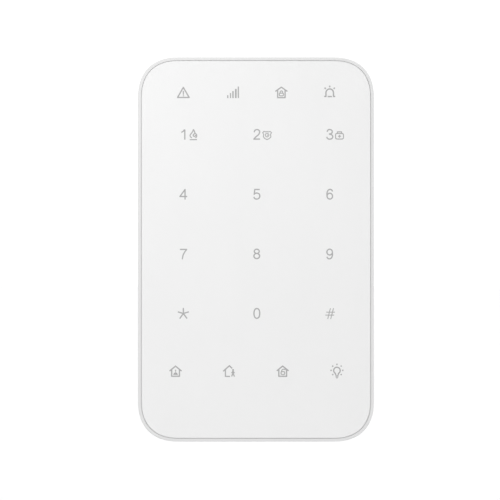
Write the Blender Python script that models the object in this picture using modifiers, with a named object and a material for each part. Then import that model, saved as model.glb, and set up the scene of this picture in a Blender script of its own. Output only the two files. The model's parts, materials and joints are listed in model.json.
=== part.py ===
"""A wall-mounted wireless alarm keypad: a wall bracket, and the keypad case that hangs on its hooks.

The frame: the origin is the centre of the bracket's flat back, which lies on the wall. +Z is up, +X is
the viewer's right, and the front of the keypad faces -Y. Lengths here are in millimetres, and every place
is written as (x, depth, z), where depth is the distance out from the wall. Only place(), and the makers
that use it, turn them into Blender's metres.
"""

import math

import bmesh
import bpy
from mathutils import Matrix, Vector

MM = 0.001

# ---- Driving dimensions --------------------------------------------------------------------------

WIDTH = 94.0
HEIGHT = 153.1
DEPTH = 24.0
CORNER = 16.5  # how far a corner's curve runs along each side
CORNER_POWER = 2.4  # 2 is a circle, and more is squarer
CORNER_STEPS = 16

GAP = 0.3  # between large pieces that rest on each other
THIN_GAP = 0.1  # between thin layers and small pieces
OVERSHOOT = 1.0  # how far a cutter runs past the face that it opens

LIFT_TRAVEL = 6.0  # the keypad slides up this far to come off its hooks
TAMPER_TRAVEL = 2.0
SWITCH_TRAVEL = 3.0
BUTTON_TRAVEL = 0.3

# ---- Layers, as depths from the wall -------------------------------------------------------------

PLATE_FRONT = 2.0  # the bracket's plate
TRAY_FRONT = 4.2  # the bracket's rim
BACK_OUTER = 4.5  # the case's back wall
BACK_INNER = 6.3
SEAM = 13.6  # where the two halves of the case meet
SEAM_FRONT = SEAM + GAP
TONGUE_FRONT = 15.2
BAY_FLOOR = 17.3  # the battery bay's floor, and its far side
BAY_END = 18.3
BOARD_BACK = 18.9
BOARD_FRONT = 20.1
LEDGE_BACK = 20.3
LEDGE_FRONT = 21.7
LAYER_BACK = LEDGE_FRONT + THIN_GAP  # the adhesive frame and the touch film
LAYER_FRONT = LAYER_BACK + 0.3
PANEL_BACK = LAYER_FRONT + THIN_GAP
FLANGE_FRONT = 23.76
PANEL_FRONT = 23.9

# ---- Walls, as distances in from the case's outline ----------------------------------------------

RIM = 1.25
PANEL_EDGE = 1.47
FLANGE_EDGE = RIM + THIN_GAP  # the panel's thin flange, which closes the gap round it from behind
BACK_WALL_SIDE = 2.0
FRONT_WALL_SIDE = 2.2
TONGUE_OUTER = 2.5
TONGUE_INNER = 3.4
LEDGE_INNER = 7.0
LEDGE_CORNER = 16.5
BRACKET_EDGE = 1.2
BRACKET_RIM = 1.6

# ---- The keys' places, as seen from the front ----------------------------------------------------

KEY_COLUMNS = (-28.9, 0.2, 29.4)
KEY_ROWS = (45.6, 21.8, -2.1, -25.8)
STATUS_COLUMNS = (-29.0, -8.9, 10.2, 29.3)
STATUS_ROW = 62.6
FUNCTION_COLUMNS = (-32.2, -10.6, 10.8, 32.3)
FUNCTION_ROW = -48.5

# ---- Batteries -----------------------------------------------------------------------------------

CELL_RADIUS = 7.25
CELL_LENGTH = 50.5
CELL_NUB = 1.3
CELL_PITCH = 14.9
CELL_COUNT = 4
BAY_CENTRE_Z = -14.0
BAY_HALF_X = 28.75
BAY_HALF_Z = 30.2
BAY_WALL = 1.4
CELL_DEPTH = BAY_FLOOR - 0.2 - CELL_RADIUS
CONTACT_THICK = 0.4
CONTACT_INNER_X = BAY_HALF_X - THIN_GAP - CONTACT_THICK
CELL_SHIFT = CONTACT_INNER_X - 0.15 - CELL_LENGTH / 2  # each cell sits against its own plate contact

# ---- Hooks, screws and the small switches --------------------------------------------------------

HOOK_X = 37.0
HOOK_ZS = (48.0, -50.0)  # the underside of each hook's stem
HOOK_WIDTH = 7.0
HOOK_STEM = 2.0
HOOK_LIP = 4.0
LUG_HALF_X = 6.0
LUG_Z = (-74.0, -71.6)
LUG_FRONT = 11.6
NOTCH_WALL = 1.3  # the walls round the notch in the case that the lug sits in
FIXING_DEPTH = 8.8  # the fixing screw's axis
FIXING_ENGAGED = 5.3  # the length of screw that is in the case
WASHER_THICK = 0.5
CASE_SCREWS = ((-38.2, 67.7), (38.2, 67.7), (-38.2, -67.7), (38.2, -67.7))
POST_BACK = 12.7  # where the front shell's screw posts end
POST_RADIUS = 3.4
COLUMN_RADIUS = 4.0  # the rear shell's columns that meet the posts
BOARD_SCREWS = ((-42.2, 38.0), (42.2, 38.0), (-42.2, -38.0), (42.2, -38.0))
WALL_SLOTS = (  # centre x, centre z, whether it lies flat, half width, half length
    (-30.0, 24.0, True, 2.3, 4.8),
    (30.0, 24.0, True, 2.3, 4.8),
    (0.0, 60.0, True, 2.3, 4.8),
    (0.0, -54.0, False, 2.3, 4.8),
)
TAMPER_AT = (0.0, 34.0)
TAMPER_DISC = (3.5, 34.0, 9.0)  # the break-away disc in the bracket: centre x, centre z, radius
TAMPER_SCREW_AT = (7.5, 34.0)
SWITCH_AT = (-16.0, 26.0)
BUTTON_AT = (16.0, 26.0)
BUZZER_AT = (24.0, 46.0)
RF_AT = (-21.0, 48.0)
CHIP_AT = (0.0, 52.0)
CONNECTOR_Z = -66.2


# ---- Blender helpers -----------------------------------------------------------------------------


def clear_scene():
    for obj in list(bpy.data.objects):
        bpy.data.objects.remove(obj)


def new_collection(name):
    made = bpy.data.collections.new(name)
    bpy.context.scene.collection.children.link(made)
    return made


def place(x, depth, z):
    """A point of the keypad in Blender's metres."""
    return Vector((x, -depth, z)) * MM


def material(name, colour, roughness, metallic=0.0):
    made = bpy.data.materials.new(name)
    made.use_nodes = True
    shader = made.node_tree.nodes["Principled BSDF"]
    shader.inputs["Base Color"].default_value = (*colour, 1.0)
    shader.inputs["Roughness"].default_value = roughness
    shader.inputs["Metallic"].default_value = metallic
    return made


def mesh_object(name, mesh, matrix):
    obj = bpy.data.objects.new(name, mesh)
    obj.matrix_world = matrix
    PARTS.objects.link(obj)
    return obj


def from_bmesh(name, shape, matrix):
    mesh = bpy.data.meshes.new(name)
    shape.to_mesh(mesh)
    shape.free()
    return mesh_object(name, mesh, matrix)


def block(name, xs, depths, zs):
    """A box between pairs of limits."""
    middle = [(low + high) / 2 for low, high in (xs, depths, zs)]
    size = [high - low for low, high in (xs, depths, zs)]
    shape = bmesh.new()
    bmesh.ops.create_cube(shape, size=1.0, matrix=Matrix.Diagonal((*(s * MM for s in size), 1.0)))
    return from_bmesh(name, shape, Matrix.Translation(place(*middle)))


# How a flat outline is turned, for each direction that it is made thick along.
OUTLINE_TURN = {
    "depth": Matrix(((1, 0, 0), (0, 0, -1), (0, 1, 0))),
    "x": Matrix(((0, 0, -1), (-1, 0, 0), (0, 1, 0))),
    "z": Matrix(((1, 0, 0), (0, -1, 0), (0, 0, -1))),
}

# Where a turned shape's top points.
TOWARDS = {
    "front": Vector((0, -1, 0)),
    "back": Vector((0, 1, 0)),
    "left": Vector((-1, 0, 0)),
    "right": Vector((1, 0, 0)),
    "up": Vector((0, 0, 1)),
    "down": Vector((0, 0, -1)),
}


def prism(name, loops, low, high, along="depth"):
    """Flat outlines, none inside another, made thick from low to high.

    Along depth the outlines are in (x, z), along x in (depth, z), and along z in (x, depth).
    """
    curve = bpy.data.curves.new(name, "CURVE")
    curve.dimensions = "2D"
    curve.fill_mode = "BOTH"
    curve.extrude = (high - low) / 2 * MM
    for loop in loops:
        spline = curve.splines.new("POLY")
        spline.points.add(len(loop) - 1)
        for point, (u, v) in zip(spline.points, loop):
            point.co = (u * MM, v * MM, 0.0, 1.0)
        spline.use_cyclic_u = True
    guide = bpy.data.objects.new(name, curve)
    PARTS.objects.link(guide)
    middle = (low + high) / 2
    centre = {"depth": (0, middle, 0), "x": (middle, 0, 0), "z": (0, 0, middle)}[along]
    guide.matrix_world = Matrix.Translation(place(*centre)) @ OUTLINE_TURN[along].to_4x4()
    return as_mesh(guide)


def as_mesh(guide):
    """The mesh of a curve object, with its caps welded on and flat. It takes the curve's place."""
    bpy.context.view_layer.update()
    graph = bpy.context.evaluated_depsgraph_get()
    mesh = bpy.data.meshes.new_from_object(guide.evaluated_get(graph))
    name, matrix = guide.name, guide.matrix_world.copy()
    bpy.data.objects.remove(guide)
    shape = bmesh.new()
    shape.from_mesh(mesh)
    bmesh.ops.remove_doubles(shape, verts=shape.verts, dist=1e-7)
    bmesh.ops.dissolve_limit(
        shape, angle_limit=math.radians(0.5), verts=shape.verts, edges=shape.edges
    )
    bmesh.ops.recalc_face_normals(shape, faces=shape.faces)
    bpy.data.meshes.remove(mesh)
    return from_bmesh(name, shape, matrix)


def rod(name, centre, radius, low, high, along="depth", sides=20):
    """A round bar. Its centre is in the plane across it, as a prism's outline is."""
    return prism(name, [circle(centre, radius, sides)], low, high, along)


def turned(name, profile, at, towards, sides=20):
    """A profile of (radius, height) points, listed from the top down and turned about an axis through at."""
    mesh = bpy.data.meshes.new(name)
    points = [(radius * MM, 0.0, height * MM) for radius, height in profile]
    mesh.from_pydata(points, [(i, i + 1) for i in range(len(points) - 1)], [])
    turn = TOWARDS[towards].to_track_quat("Z", "Y").to_matrix().to_4x4()
    obj = mesh_object(name, mesh, Matrix.Translation(place(*at)) @ turn)
    screw = obj.modifiers.new("Turn", "SCREW")
    screw.axis = "Z"
    screw.steps = screw.render_steps = sides
    screw.use_merge_vertices = True
    screw.merge_threshold = 1e-6
    screw.use_smooth_shade = False
    return obj


def wire(name, points, radius, closed_ends=True, resolution=1):
    """A round wire through a list of (x, depth, z) points."""
    curve = bpy.data.curves.new(name, "CURVE")
    curve.dimensions = "3D"
    curve.bevel_depth = radius * MM
    curve.bevel_resolution = resolution
    curve.use_fill_caps = closed_ends
    spline = curve.splines.new("POLY")
    spline.points.add(len(points) - 1)
    for point, where in zip(spline.points, points):
        point.co = (*place(*where), 1.0)
    guide = bpy.data.objects.new(name, curve)
    PARTS.objects.link(guide)
    return as_mesh(guide)


def coil(name, centre, radii, wire_radius, low, high, turns, along, steps=10):
    """A coil spring from low to high, whose radius goes from radii[0] to radii[1]."""
    points = []
    count = round(turns * steps)
    for i in range(count + 1):
        share = i / count
        radius = radii[0] + (radii[1] - radii[0]) * share
        angle = 2 * math.pi * turns * share
        forward = low + (high - low) * share
        u = centre[0] + radius * math.cos(angle)
        v = centre[1] + radius * math.sin(angle)
        points.append((u, forward, v) if along == "depth" else (forward, u, v))
    return wire(name, points, wire_radius)


def hide_tool(tool):
    """A cutter or a joining shape isn't a part."""
    tool.hide_render = True
    tool.display_type = "WIRE"
    PARTS.objects.unlink(tool)
    TOOLS.objects.link(tool)


def joined(tools):
    """Shapes that don't touch each other, as one object."""
    first = tools[0]
    shape = bmesh.new()
    for tool in tools:
        piece = tool.data.copy()
        piece.transform(first.matrix_world.inverted() @ tool.matrix_world)
        shape.from_mesh(piece)
        bpy.data.meshes.remove(piece)
    made = from_bmesh(first.name, shape, first.matrix_world.copy())
    for tool in tools:
        bpy.data.objects.remove(tool)
    return made


def boolean(obj, operation, tools):
    tool = joined(tools) if len(tools) > 1 else tools[0]
    tool.name = f"{obj.name}_tool"
    change = obj.modifiers.new(operation.title(), "BOOLEAN")
    change.operation = operation
    change.solver = "EXACT"
    change.object = tool
    hide_tool(tool)


def cut(obj, *tools):
    boolean(obj, "DIFFERENCE", tools)


def fuse(obj, *tools):
    boolean(obj, "UNION", tools)


def round_rim(obj, depth, radius, segments):
    """Rounds the edge that runs round an extruded outline at one depth."""
    shape = bmesh.new()
    shape.from_mesh(obj.data)
    world = obj.matrix_world
    rim = [
        edge
        for edge in shape.edges
        if all(abs((world @ v.co).y + depth * MM) < 1e-6 for v in edge.verts)
        and edge.calc_face_angle(0.0) > math.radians(60)
    ]
    bmesh.ops.bevel(
        shape, geom=rim, offset=radius * MM, segments=segments, profile=0.5, affect="EDGES"
    )
    shape.to_mesh(obj.data)
    shape.free()


def finish(obj, look, group):
    """Gives a part its material and its group's empty, and shades its round faces smooth."""
    obj.data.materials.clear()
    obj.data.materials.append(look)
    obj.data.shade_smooth()
    obj.data.set_sharp_from_angle(angle=math.radians(35))
    bpy.context.view_layer.update()
    obj.parent = group
    obj.matrix_parent_inverse = group.matrix_world.inverted()


def group_at(name, at, parent=None):
    """An empty that a body's parts hang from, on that body's joint."""
    empty = bpy.data.objects.new(name, None)
    PARTS.objects.link(empty)
    empty.matrix_world = Matrix.Translation(place(*at))
    bpy.context.view_layer.update()
    if parent:
        empty.parent = parent
        empty.matrix_parent_inverse = parent.matrix_world.inverted()
        bpy.context.view_layer.update()
    return empty


# ---- Outlines ------------------------------------------------------------------------------------


def rounded(half_x, half_z, corner, power=2.0, steps=4, centre=(0.0, 0.0)):
    """A rectangle whose corners follow |u|^power + |v|^power = 1 over the length corner."""
    loop = []
    for sign_x, sign_z, start in ((1, 1, 0), (-1, 1, 1), (-1, -1, 2), (1, -1, 3)):
        for i in range(steps + 1):
            share = i / steps if start % 2 == 0 else 1 - i / steps
            angle = math.pi / 2 * share
            u = math.cos(angle) ** (2 / power) if share < 1 else 0.0
            v = math.sin(angle) ** (2 / power) if share > 0 else 0.0
            x = sign_x * (half_x - corner + corner * u)
            z = sign_z * (half_z - corner + corner * v)
            point = (centre[0] + x, centre[1] + z)
            if not loop or math.dist(point, loop[-1]) > 1e-6:
                loop.append(point)
    return loop


def case_outline(inset):
    """The case's outline, moved in from its edge."""
    return rounded(
        WIDTH / 2 - inset, HEIGHT / 2 - inset, CORNER - inset, CORNER_POWER, CORNER_STEPS
    )


def ledge_outline(inset):
    """The opening of the ledge that the front panel rests on, moved in from its edge."""
    inset_all = LEDGE_INNER + inset
    return rounded(
        WIDTH / 2 - inset_all, HEIGHT / 2 - inset_all, LEDGE_CORNER - inset, steps=CORNER_STEPS
    )


def rectangle(xs, zs):
    return [(xs[0], zs[0]), (xs[1], zs[0]), (xs[1], zs[1]), (xs[0], zs[1])]


def circle(centre, radius, sides=16):
    angles = [2 * math.pi * (i + 0.5) / sides for i in range(sides)]
    return [(centre[0] + radius * math.cos(a), centre[1] + radius * math.sin(a)) for a in angles]


def slot(centre, flat, half_width, half_length):
    """A slot with round ends."""
    half = (half_length, half_width) if flat else (half_width, half_length)
    return rounded(*half, half_width, centre=centre)


def ring_pieces(centre, radius, width, count, bridge, steps=7):
    """The cuts of a broken ring: count arcs, with bridges of the given width left between them."""
    loops = []
    gap = bridge / radius
    for i in range(count):
        start = 2 * math.pi * i / count + gap / 2
        sweep = 2 * math.pi / count - gap
        angles = [start + sweep * k / steps for k in range(steps + 1)]
        outer = [(radius + width / 2, a) for a in angles]
        inner = [(radius - width / 2, a) for a in reversed(angles)]
        loops.append(
            [(centre[0] + r * math.cos(a), centre[1] + r * math.sin(a)) for r, a in outer + inner]
        )
    return loops


def cross(centre, arm, half_width):
    """The outline of a cross recess, whose arms narrow outwards."""
    a, w, tip = arm, half_width, half_width * 0.7
    turn = [(a, -tip), (a, tip), (w, w), (tip, a), (-tip, a), (-w, w)]
    turn += [(-u, -v) for u, v in turn]
    return [(centre[0] + u, centre[1] + v) for u, v in turn]


# ---- The bracket ---------------------------------------------------------------------------------

POCKET_COLUMNS = 5
POCKET_ROWS = 9
POCKET_DEPTH = 0.8
POCKET_RIB = 1.8
POCKET_MARGIN = 6.0


def bracket_lands():
    """Places on the bracket's back that stay at full thickness: (centre x, centre z, half x, half z)."""
    lands = [(0.0, 0.0, 8.0, 8.0), (*TAMPER_DISC[:2], 11.0, 11.0), (0.0, LUG_Z[0], 9.0, 6.0)]
    for x, z, flat, half_width, half_length in WALL_SLOTS:
        half = (half_length, half_width) if flat else (half_width, half_length)
        lands.append((x, z, half[0] + 2.5, half[1] + 2.5))
    for z in HOOK_ZS:
        lands += [(side * HOOK_X, z + 1, 5.0, 3.0) for side in (-1, 1)]
    return lands


def bracket_pockets():
    """The shallow pockets that leave a grid of ribs on the bracket's back."""
    half_x = WIDTH / 2 - BRACKET_EDGE - POCKET_MARGIN
    half_z = HEIGHT / 2 - BRACKET_EDGE - POCKET_MARGIN
    step_x = 2 * half_x / POCKET_COLUMNS
    step_z = 2 * half_z / POCKET_ROWS
    loops = []
    for column in range(POCKET_COLUMNS):
        for row in range(POCKET_ROWS):
            x = -half_x + step_x * (column + 0.5)
            z = -half_z + step_z * (row + 0.5)
            half = (step_x - POCKET_RIB) / 2, (step_z - POCKET_RIB) / 2
            at_corner = column in (0, POCKET_COLUMNS - 1) and row in (0, POCKET_ROWS - 1)
            on_land = any(
                abs(x - lx) < half[0] + hx and abs(z - lz) < half[1] + hz
                for lx, lz, hx, hz in bracket_lands()
            )
            if not (at_corner or on_land):
                loops.append(rounded(*half, 1.5, steps=2, centre=(x, z)))
    return loops


def hook(side, z):
    """An L-shaped hook: a stem out of the plate, and a lip that points up behind the case's back wall."""
    lip_back = BACK_INNER + GAP
    lip_front = lip_back + 1.6
    outline = [
        (PLATE_FRONT - 0.5, z),
        (lip_front - 0.6, z),
        (lip_front, z + 0.6),
        (lip_front, z + HOOK_STEM + HOOK_LIP - 0.8),
        (lip_front - 0.8, z + HOOK_STEM + HOOK_LIP),
        (lip_back, z + HOOK_STEM + HOOK_LIP),
        (lip_back, z + HOOK_STEM),
        (PLATE_FRONT - 0.5, z + HOOK_STEM),
    ]
    x = side * HOOK_X
    return prism("hook", [outline], x - HOOK_WIDTH / 2, x + HOOK_WIDTH / 2, along="x")


def make_wall_bracket(looks, groups):
    """The moulded plate that is screwed to the wall."""
    holes = [slot((x, z), flat, w, length) for x, z, flat, w, length in WALL_SLOTS]
    holes += ring_pieces(TAMPER_DISC[:2], TAMPER_DISC[2], 0.9, 4, 1.6)
    holes.append(circle(TAMPER_SCREW_AT, 1.8, 12))
    plate = prism("wall_bracket", [case_outline(BRACKET_EDGE)], 0.0, TRAY_FRONT)
    inside = case_outline(BRACKET_EDGE + BRACKET_RIM)
    tray = prism("tray", [inside], PLATE_FRONT, TRAY_FRONT + OVERSHOOT)
    cut(plate, tray, prism("pockets", bracket_pockets(), -OVERSHOOT, POCKET_DEPTH))
    lug = block("lug", (-LUG_HALF_X, LUG_HALF_X), (PLATE_FRONT - 0.5, LUG_FRONT), LUG_Z)
    web_outline = [
        (PLATE_FRONT - 0.5, LUG_Z[1] - 0.5),
        (BACK_OUTER - 0.6, LUG_Z[1] - 0.5),
        (BACK_OUTER - 0.6, LUG_Z[1] + 0.5),
        (PLATE_FRONT - 0.5, LUG_Z[1] + 3.0),
    ]
    hooks = [hook(side, z) for side in (-1, 1) for z in HOOK_ZS]
    fuse(plate, lug, *hooks)
    fuse(plate, *(prism("web", [web_outline], x - 0.7, x + 0.7, along="x") for x in (-4.0, 4.0)))
    bore = rod("bore", (0.0, FIXING_DEPTH), 1.75, LUG_Z[0] - OVERSHOOT, LUG_Z[1] + OVERSHOOT, "z", 12)
    cut(plate, bore, prism("holes", holes, -OVERSHOOT, PLATE_FRONT + OVERSHOOT))
    finish(plate, looks["bracket"], groups["wall_bracket"])


# ---- The case ------------------------------------------------------------------------------------


def make_rear_shell(looks, groups):
    """The back half of the case, with the battery bay and the slots for the bracket's hooks."""
    shell = prism("rear_shell", [case_outline(0.0)], BACK_OUTER, SEAM)
    round_rim(shell, BACK_OUTER, 1.6, 6)
    tongue = prism("tongue", [case_outline(TONGUE_OUTER)], SEAM - 1.0, TONGUE_FRONT)
    fuse(shell, tongue)
    step = SEAM - 3.0
    cut(shell, prism("mouth", [case_outline(TONGUE_INNER)], step - 0.5, TONGUE_FRONT + OVERSHOOT))
    cut(shell, prism("cavity", [case_outline(BACK_WALL_SIDE)], BACK_INNER, step))

    low_z, high_z = BAY_CENTRE_Z - BAY_HALF_Z, BAY_CENTRE_Z + BAY_HALF_Z
    tub_half_x = BAY_HALF_X + BAY_WALL
    tub = block(
        "tub", (-tub_half_x, tub_half_x), (BACK_OUTER + 0.5, BAY_END),
        (low_z - BAY_WALL, high_z + BAY_WALL),
    )
    columns = [rod("column", at, COLUMN_RADIUS, BACK_OUTER + 0.5, POST_BACK) for at in CASE_SCREWS]
    notch_x = LUG_HALF_X + 0.5
    boss = block(
        "boss",
        (-notch_x - NOTCH_WALL, notch_x + NOTCH_WALL),
        (BACK_OUTER + 0.5, LUG_FRONT + GAP + NOTCH_WALL),
        (-HEIGHT / 2 + 1.0, LUG_Z[1] + GAP + FIXING_ENGAGED + 1.8),
    )
    fuse(shell, tub, boss, *columns)
    room = COLUMN_RADIUS + 0.2
    cut(
        shell,
        *(rod("room", at, room, POST_BACK - GAP, TONGUE_FRONT + OVERSHOOT) for at in CASE_SCREWS),
        block("bay", (-BAY_HALF_X, BAY_HALF_X), (BACK_OUTER - OVERSHOOT, BAY_FLOOR), (low_z, high_z)),
        block(
            "notch",
            (-notch_x, notch_x),
            (BACK_OUTER - OVERSHOOT, LUG_FRONT + GAP),
            (-HEIGHT / 2 - OVERSHOOT, LUG_Z[1] + GAP),
        ),
    )
    ribs = [
        block("rib", (-20.0, 20.0), (BAY_FLOOR - 2.0, BAY_FLOOR + 0.5), (z - 1.0, z + 1.0))
        for z in (BAY_CENTRE_Z + CELL_PITCH * k for k in (-1, 0, 1))
    ]
    fuse(shell, *ribs)
    cut(shell, *back_openings())
    cut(shell, *screw_holes_in_rear())
    finish(shell, looks["case"], groups["keypad"])


def back_openings():
    """What goes through the case's back wall: the hooks, the switches and the sounder's slots."""
    opening = BACK_OUTER - OVERSHOOT, BACK_INNER + 0.4
    loops = []
    for z in HOOK_ZS:
        low, high = z - LIFT_TRAVEL - GAP, z + HOOK_STEM + GAP
        half_x = HOOK_WIDTH / 2 + 0.5
        loops += [
            rounded(half_x, (high - low) / 2, 0.8, steps=2, centre=(s * HOOK_X, (low + high) / 2))
            for s in (-1, 1)
        ]
    loops.append(circle(TAMPER_AT, 2.5))
    loops.append(circle(BUTTON_AT, 2.3))
    loops.append(rounded(3.6, 1.7, 0.6, steps=2, centre=SWITCH_AT))
    loops += [
        rounded(0.6, 3.4, 0.6, steps=3, centre=(BUZZER_AT[0] + offset, BUZZER_AT[1]))
        for offset in (-4.4, -2.2, 0.0, 2.2, 4.4)
    ]
    return [prism("openings", loops, *opening)]


def screw_holes_in_rear():
    """Counterbores and holes for the case's screws, the fixing screw's hole, and the terminals' slots."""
    tools = []
    for at in CASE_SCREWS:
        profile = [(0.0, 5.3), (3.1, 5.3), (3.1, -1.0), (1.6, -1.0), (1.6, -5.0), (0.0, -5.0)]
        tools.append(turned_tool(profile, (at[0], 8.8, at[1]), "back"))
    bottom = LUG_Z[1] + GAP
    tools.append(
        rod("bore", (0.0, FIXING_DEPTH), 1.6, bottom - OVERSHOOT, bottom + FIXING_ENGAGED + 0.5, "z", 12)
    )
    for z in (cell_z(0), cell_z(3)):
        tools.append(
            block("slot", (-CONTACT_INNER_X - 0.8, -CONTACT_INNER_X + 0.3),
                  (BAY_FLOOR - 0.5, BAY_END + 0.5), (z - 2.2, z + 2.2))
        )
    return tools


def turned_tool(profile, at, towards):
    """A turned cutter, with its modifier applied so that it can be joined to others."""
    obj = turned("turned", profile, at, towards, sides=16)
    bpy.context.view_layer.update()
    mesh = bpy.data.meshes.new_from_object(obj.evaluated_get(bpy.context.evaluated_depsgraph_get()))
    matrix = obj.matrix_world.copy()
    bpy.data.objects.remove(obj)
    return mesh_object("turned", mesh, matrix)


def make_front_shell(looks, groups):
    """The front half of the case: the rim round the panel, the ledge under it, and the screw posts."""
    shell = prism("front_shell", [case_outline(0.0)], SEAM_FRONT, DEPTH)
    round_rim(shell, DEPTH, 0.45, 4)
    cut(shell, prism("recess", [case_outline(RIM)], LEDGE_FRONT, DEPTH + OVERSHOOT))
    cut(shell, prism("cavity", [case_outline(FRONT_WALL_SIDE)], SEAM_FRONT - OVERSHOOT, LEDGE_BACK))
    cut(shell, prism("window", [ledge_outline(0.0)], LEDGE_BACK - 0.5, LEDGE_FRONT + 0.5))
    fuse(shell, *(rod("post", at, POST_RADIUS, POST_BACK, LEDGE_BACK + 0.5) for at in CASE_SCREWS))
    pilots = [rod("pilot", at, 1.45, POST_BACK - OVERSHOOT, 19.4, sides=12) for at in CASE_SCREWS]
    pilots += [
        rod("pilot", at, 1.1, LEDGE_BACK - 0.5, LEDGE_FRONT + 0.5, sides=12) for at in BOARD_SCREWS
    ]
    cut(shell, *pilots)
    finish(shell, looks["case"], groups["keypad"])


def make_front_panel(looks, groups):
    """The touch panel, the adhesive frame that holds it and the touch film behind it."""
    panel = prism("front_panel", [case_outline(PANEL_EDGE)], PANEL_BACK, PANEL_FRONT)
    round_rim(panel, PANEL_FRONT, 0.12, 3)
    fuse(panel, prism("flange", [case_outline(FLANGE_EDGE)], PANEL_BACK, FLANGE_FRONT))
    finish(panel, looks["panel"], groups["keypad"])
    adhesive = prism("panel_adhesive", [case_outline(PANEL_EDGE + 0.5)], LAYER_BACK, LAYER_FRONT)
    cut(adhesive, prism("inside", [ledge_outline(-0.5)], LAYER_BACK - 0.5, LAYER_FRONT + 0.5))
    finish(adhesive, looks["adhesive"], groups["keypad"])
    film = prism("touch_film", [ledge_outline(0.3)], LAYER_BACK, LAYER_FRONT)
    tail = block("tail", (-6.0, 6.0), (16.4, LAYER_FRONT - 0.15), (CONNECTOR_Z, CONNECTOR_Z + 0.3))
    fuse(film, tail)
    finish(film, looks["film"], groups["keypad"])


def key_places():
    """The centres of the sixteen keys that light up: (x, z, half width of its light well)."""
    places = [(x, z, 4.5) for z in KEY_ROWS[1:] for x in KEY_COLUMNS]
    places += [(x + 1.8, KEY_ROWS[0], 6.5) for x in KEY_COLUMNS]
    places += [(x, FUNCTION_ROW, 4.5) for x in FUNCTION_COLUMNS]
    return places


def make_light_baffle(looks, groups):
    """The opaque plate whose wells keep each legend's light apart."""
    wells = [rounded(half, 4.0, 1.0, steps=2, centre=(x, z)) for x, z, half in key_places()]
    wells += [rounded(3.8, 3.4, 1.0, steps=2, centre=(x, STATUS_ROW)) for x in STATUS_COLUMNS]
    wells.append(rectangle((-6.6, 6.6), (CONNECTOR_Z - 0.6, CONNECTOR_Z + 0.9)))
    baffle = prism("light_baffle", [ledge_outline(0.3)], LEDGE_BACK + THIN_GAP, LEDGE_FRONT)
    cut(baffle, prism("wells", wells, LEDGE_BACK - 0.5, LEDGE_FRONT + 0.5))
    finish(baffle, looks["baffle"], groups["keypad"])


# ---- The electronics -----------------------------------------------------------------------------


def make_main_board(looks, groups):
    """The circuit board, with its key lights and its smallest parts soldered on."""
    holes = [circle(at, 1.2, 12) for at in BOARD_SCREWS]
    holes.append(rectangle((-6.6, 6.6), (CONNECTOR_Z - 0.4, CONNECTOR_Z + 0.7)))
    for z in (cell_z(0), cell_z(3)):
        holes.append(rectangle((-CONTACT_INNER_X - 0.8, -CONTACT_INNER_X + 0.3), (z - 1.9, z + 1.9)))
    side = WIDTH / 2 - 2.6
    board = block("main_board", (-side, side), (BOARD_BACK, BOARD_FRONT), (-63.5, 63.5))
    fuse(board, block("tabs", (-33.5, 33.5), (BOARD_BACK, BOARD_FRONT), (-72.5, 72.5)))
    cut(board, prism("holes", holes, BOARD_BACK - 0.5, BOARD_FRONT + 0.5))
    lights = [rectangle((x - 0.8, x + 0.8), (z - 0.5, z + 0.5)) for x, z, _ in key_places()]
    fuse(board, prism("lights", lights, BOARD_FRONT - 0.4, BOARD_FRONT + 0.6))
    chips = [(-8.0 + 2.6 * i, 64.0, 0.5, 1.0) for i in range(7)]
    chips += [(-40.0, 20.0 - 5.0 * i, 1.3, 0.8) for i in range(6)]
    chips += [(37.0, -5.0 + 6.0 * i, 0.8, 1.4) for i in range(4)]
    chips += [(-24.0 + 3.2 * i, -55.0, 0.5, 1.0) for i in range(5)]
    small = [rectangle((x - hx, x + hx), (z - hz, z + hz)) for x, z, hx, hz in chips]
    fuse(board, prism("small", small, BOARD_BACK - 0.7, BOARD_BACK + 0.4))
    finish(board, looks["board"], groups["keypad"])


def make_board_parts(looks, groups):
    """The larger parts on the board's back, and the four status lights on its front."""
    seat = BOARD_BACK - THIN_GAP
    keypad = groups["keypad"]
    x, z = RF_AT
    can = prism("radio_module", [rounded(9.0, 10.0, 1.2, steps=2, centre=(x, z))], seat - 2.6, seat)
    finish(can, looks["steel"], keypad)
    x, z = CHIP_AT
    chip = prism("controller_chip", [rounded(5.0, 5.0, 0.4, steps=1, centre=(x, z))], seat - 1.2, seat)
    finish(chip, looks["black"], keypad)
    profile = [(0.0, 4.6), (1.1, 4.6), (1.3, 5.4), (6.4, 5.4), (7.0, 4.8), (7.0, 0.0), (0.0, 0.0)]
    buzzer = turned("sounder", profile, (BUZZER_AT[0], seat, BUZZER_AT[1]), "back", sides=24)
    finish(buzzer, looks["black"], keypad)
    route = [(-21.0, 17.6, 59.0), (-21.0, 17.0, 66.0), (-20.0, 17.0, 69.0), (-17.5, 17.0, 70.4),
             (0.0, 17.0, 70.4), (24.0, 17.0, 70.4)]
    finish(wire("antenna", route, 0.5, resolution=2), looks["copper"], keypad)
    connector = block("film_connector", (-8.0, 8.0), (seat - 2.2, seat), (-69.2, CONNECTOR_Z - 0.6))
    finish(connector, looks["ivory"], keypad)
    for name, x in zip(("fault", "signal", "armed", "alarm"), STATUS_COLUMNS):
        front = BOARD_FRONT + THIN_GAP
        light = block(f"status_light_{name}", (x - 1.0, x + 1.0), (front, front + 0.7),
                      (STATUS_ROW - 0.6, STATUS_ROW + 0.6))
        finish(light, looks["light"], keypad)


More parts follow.
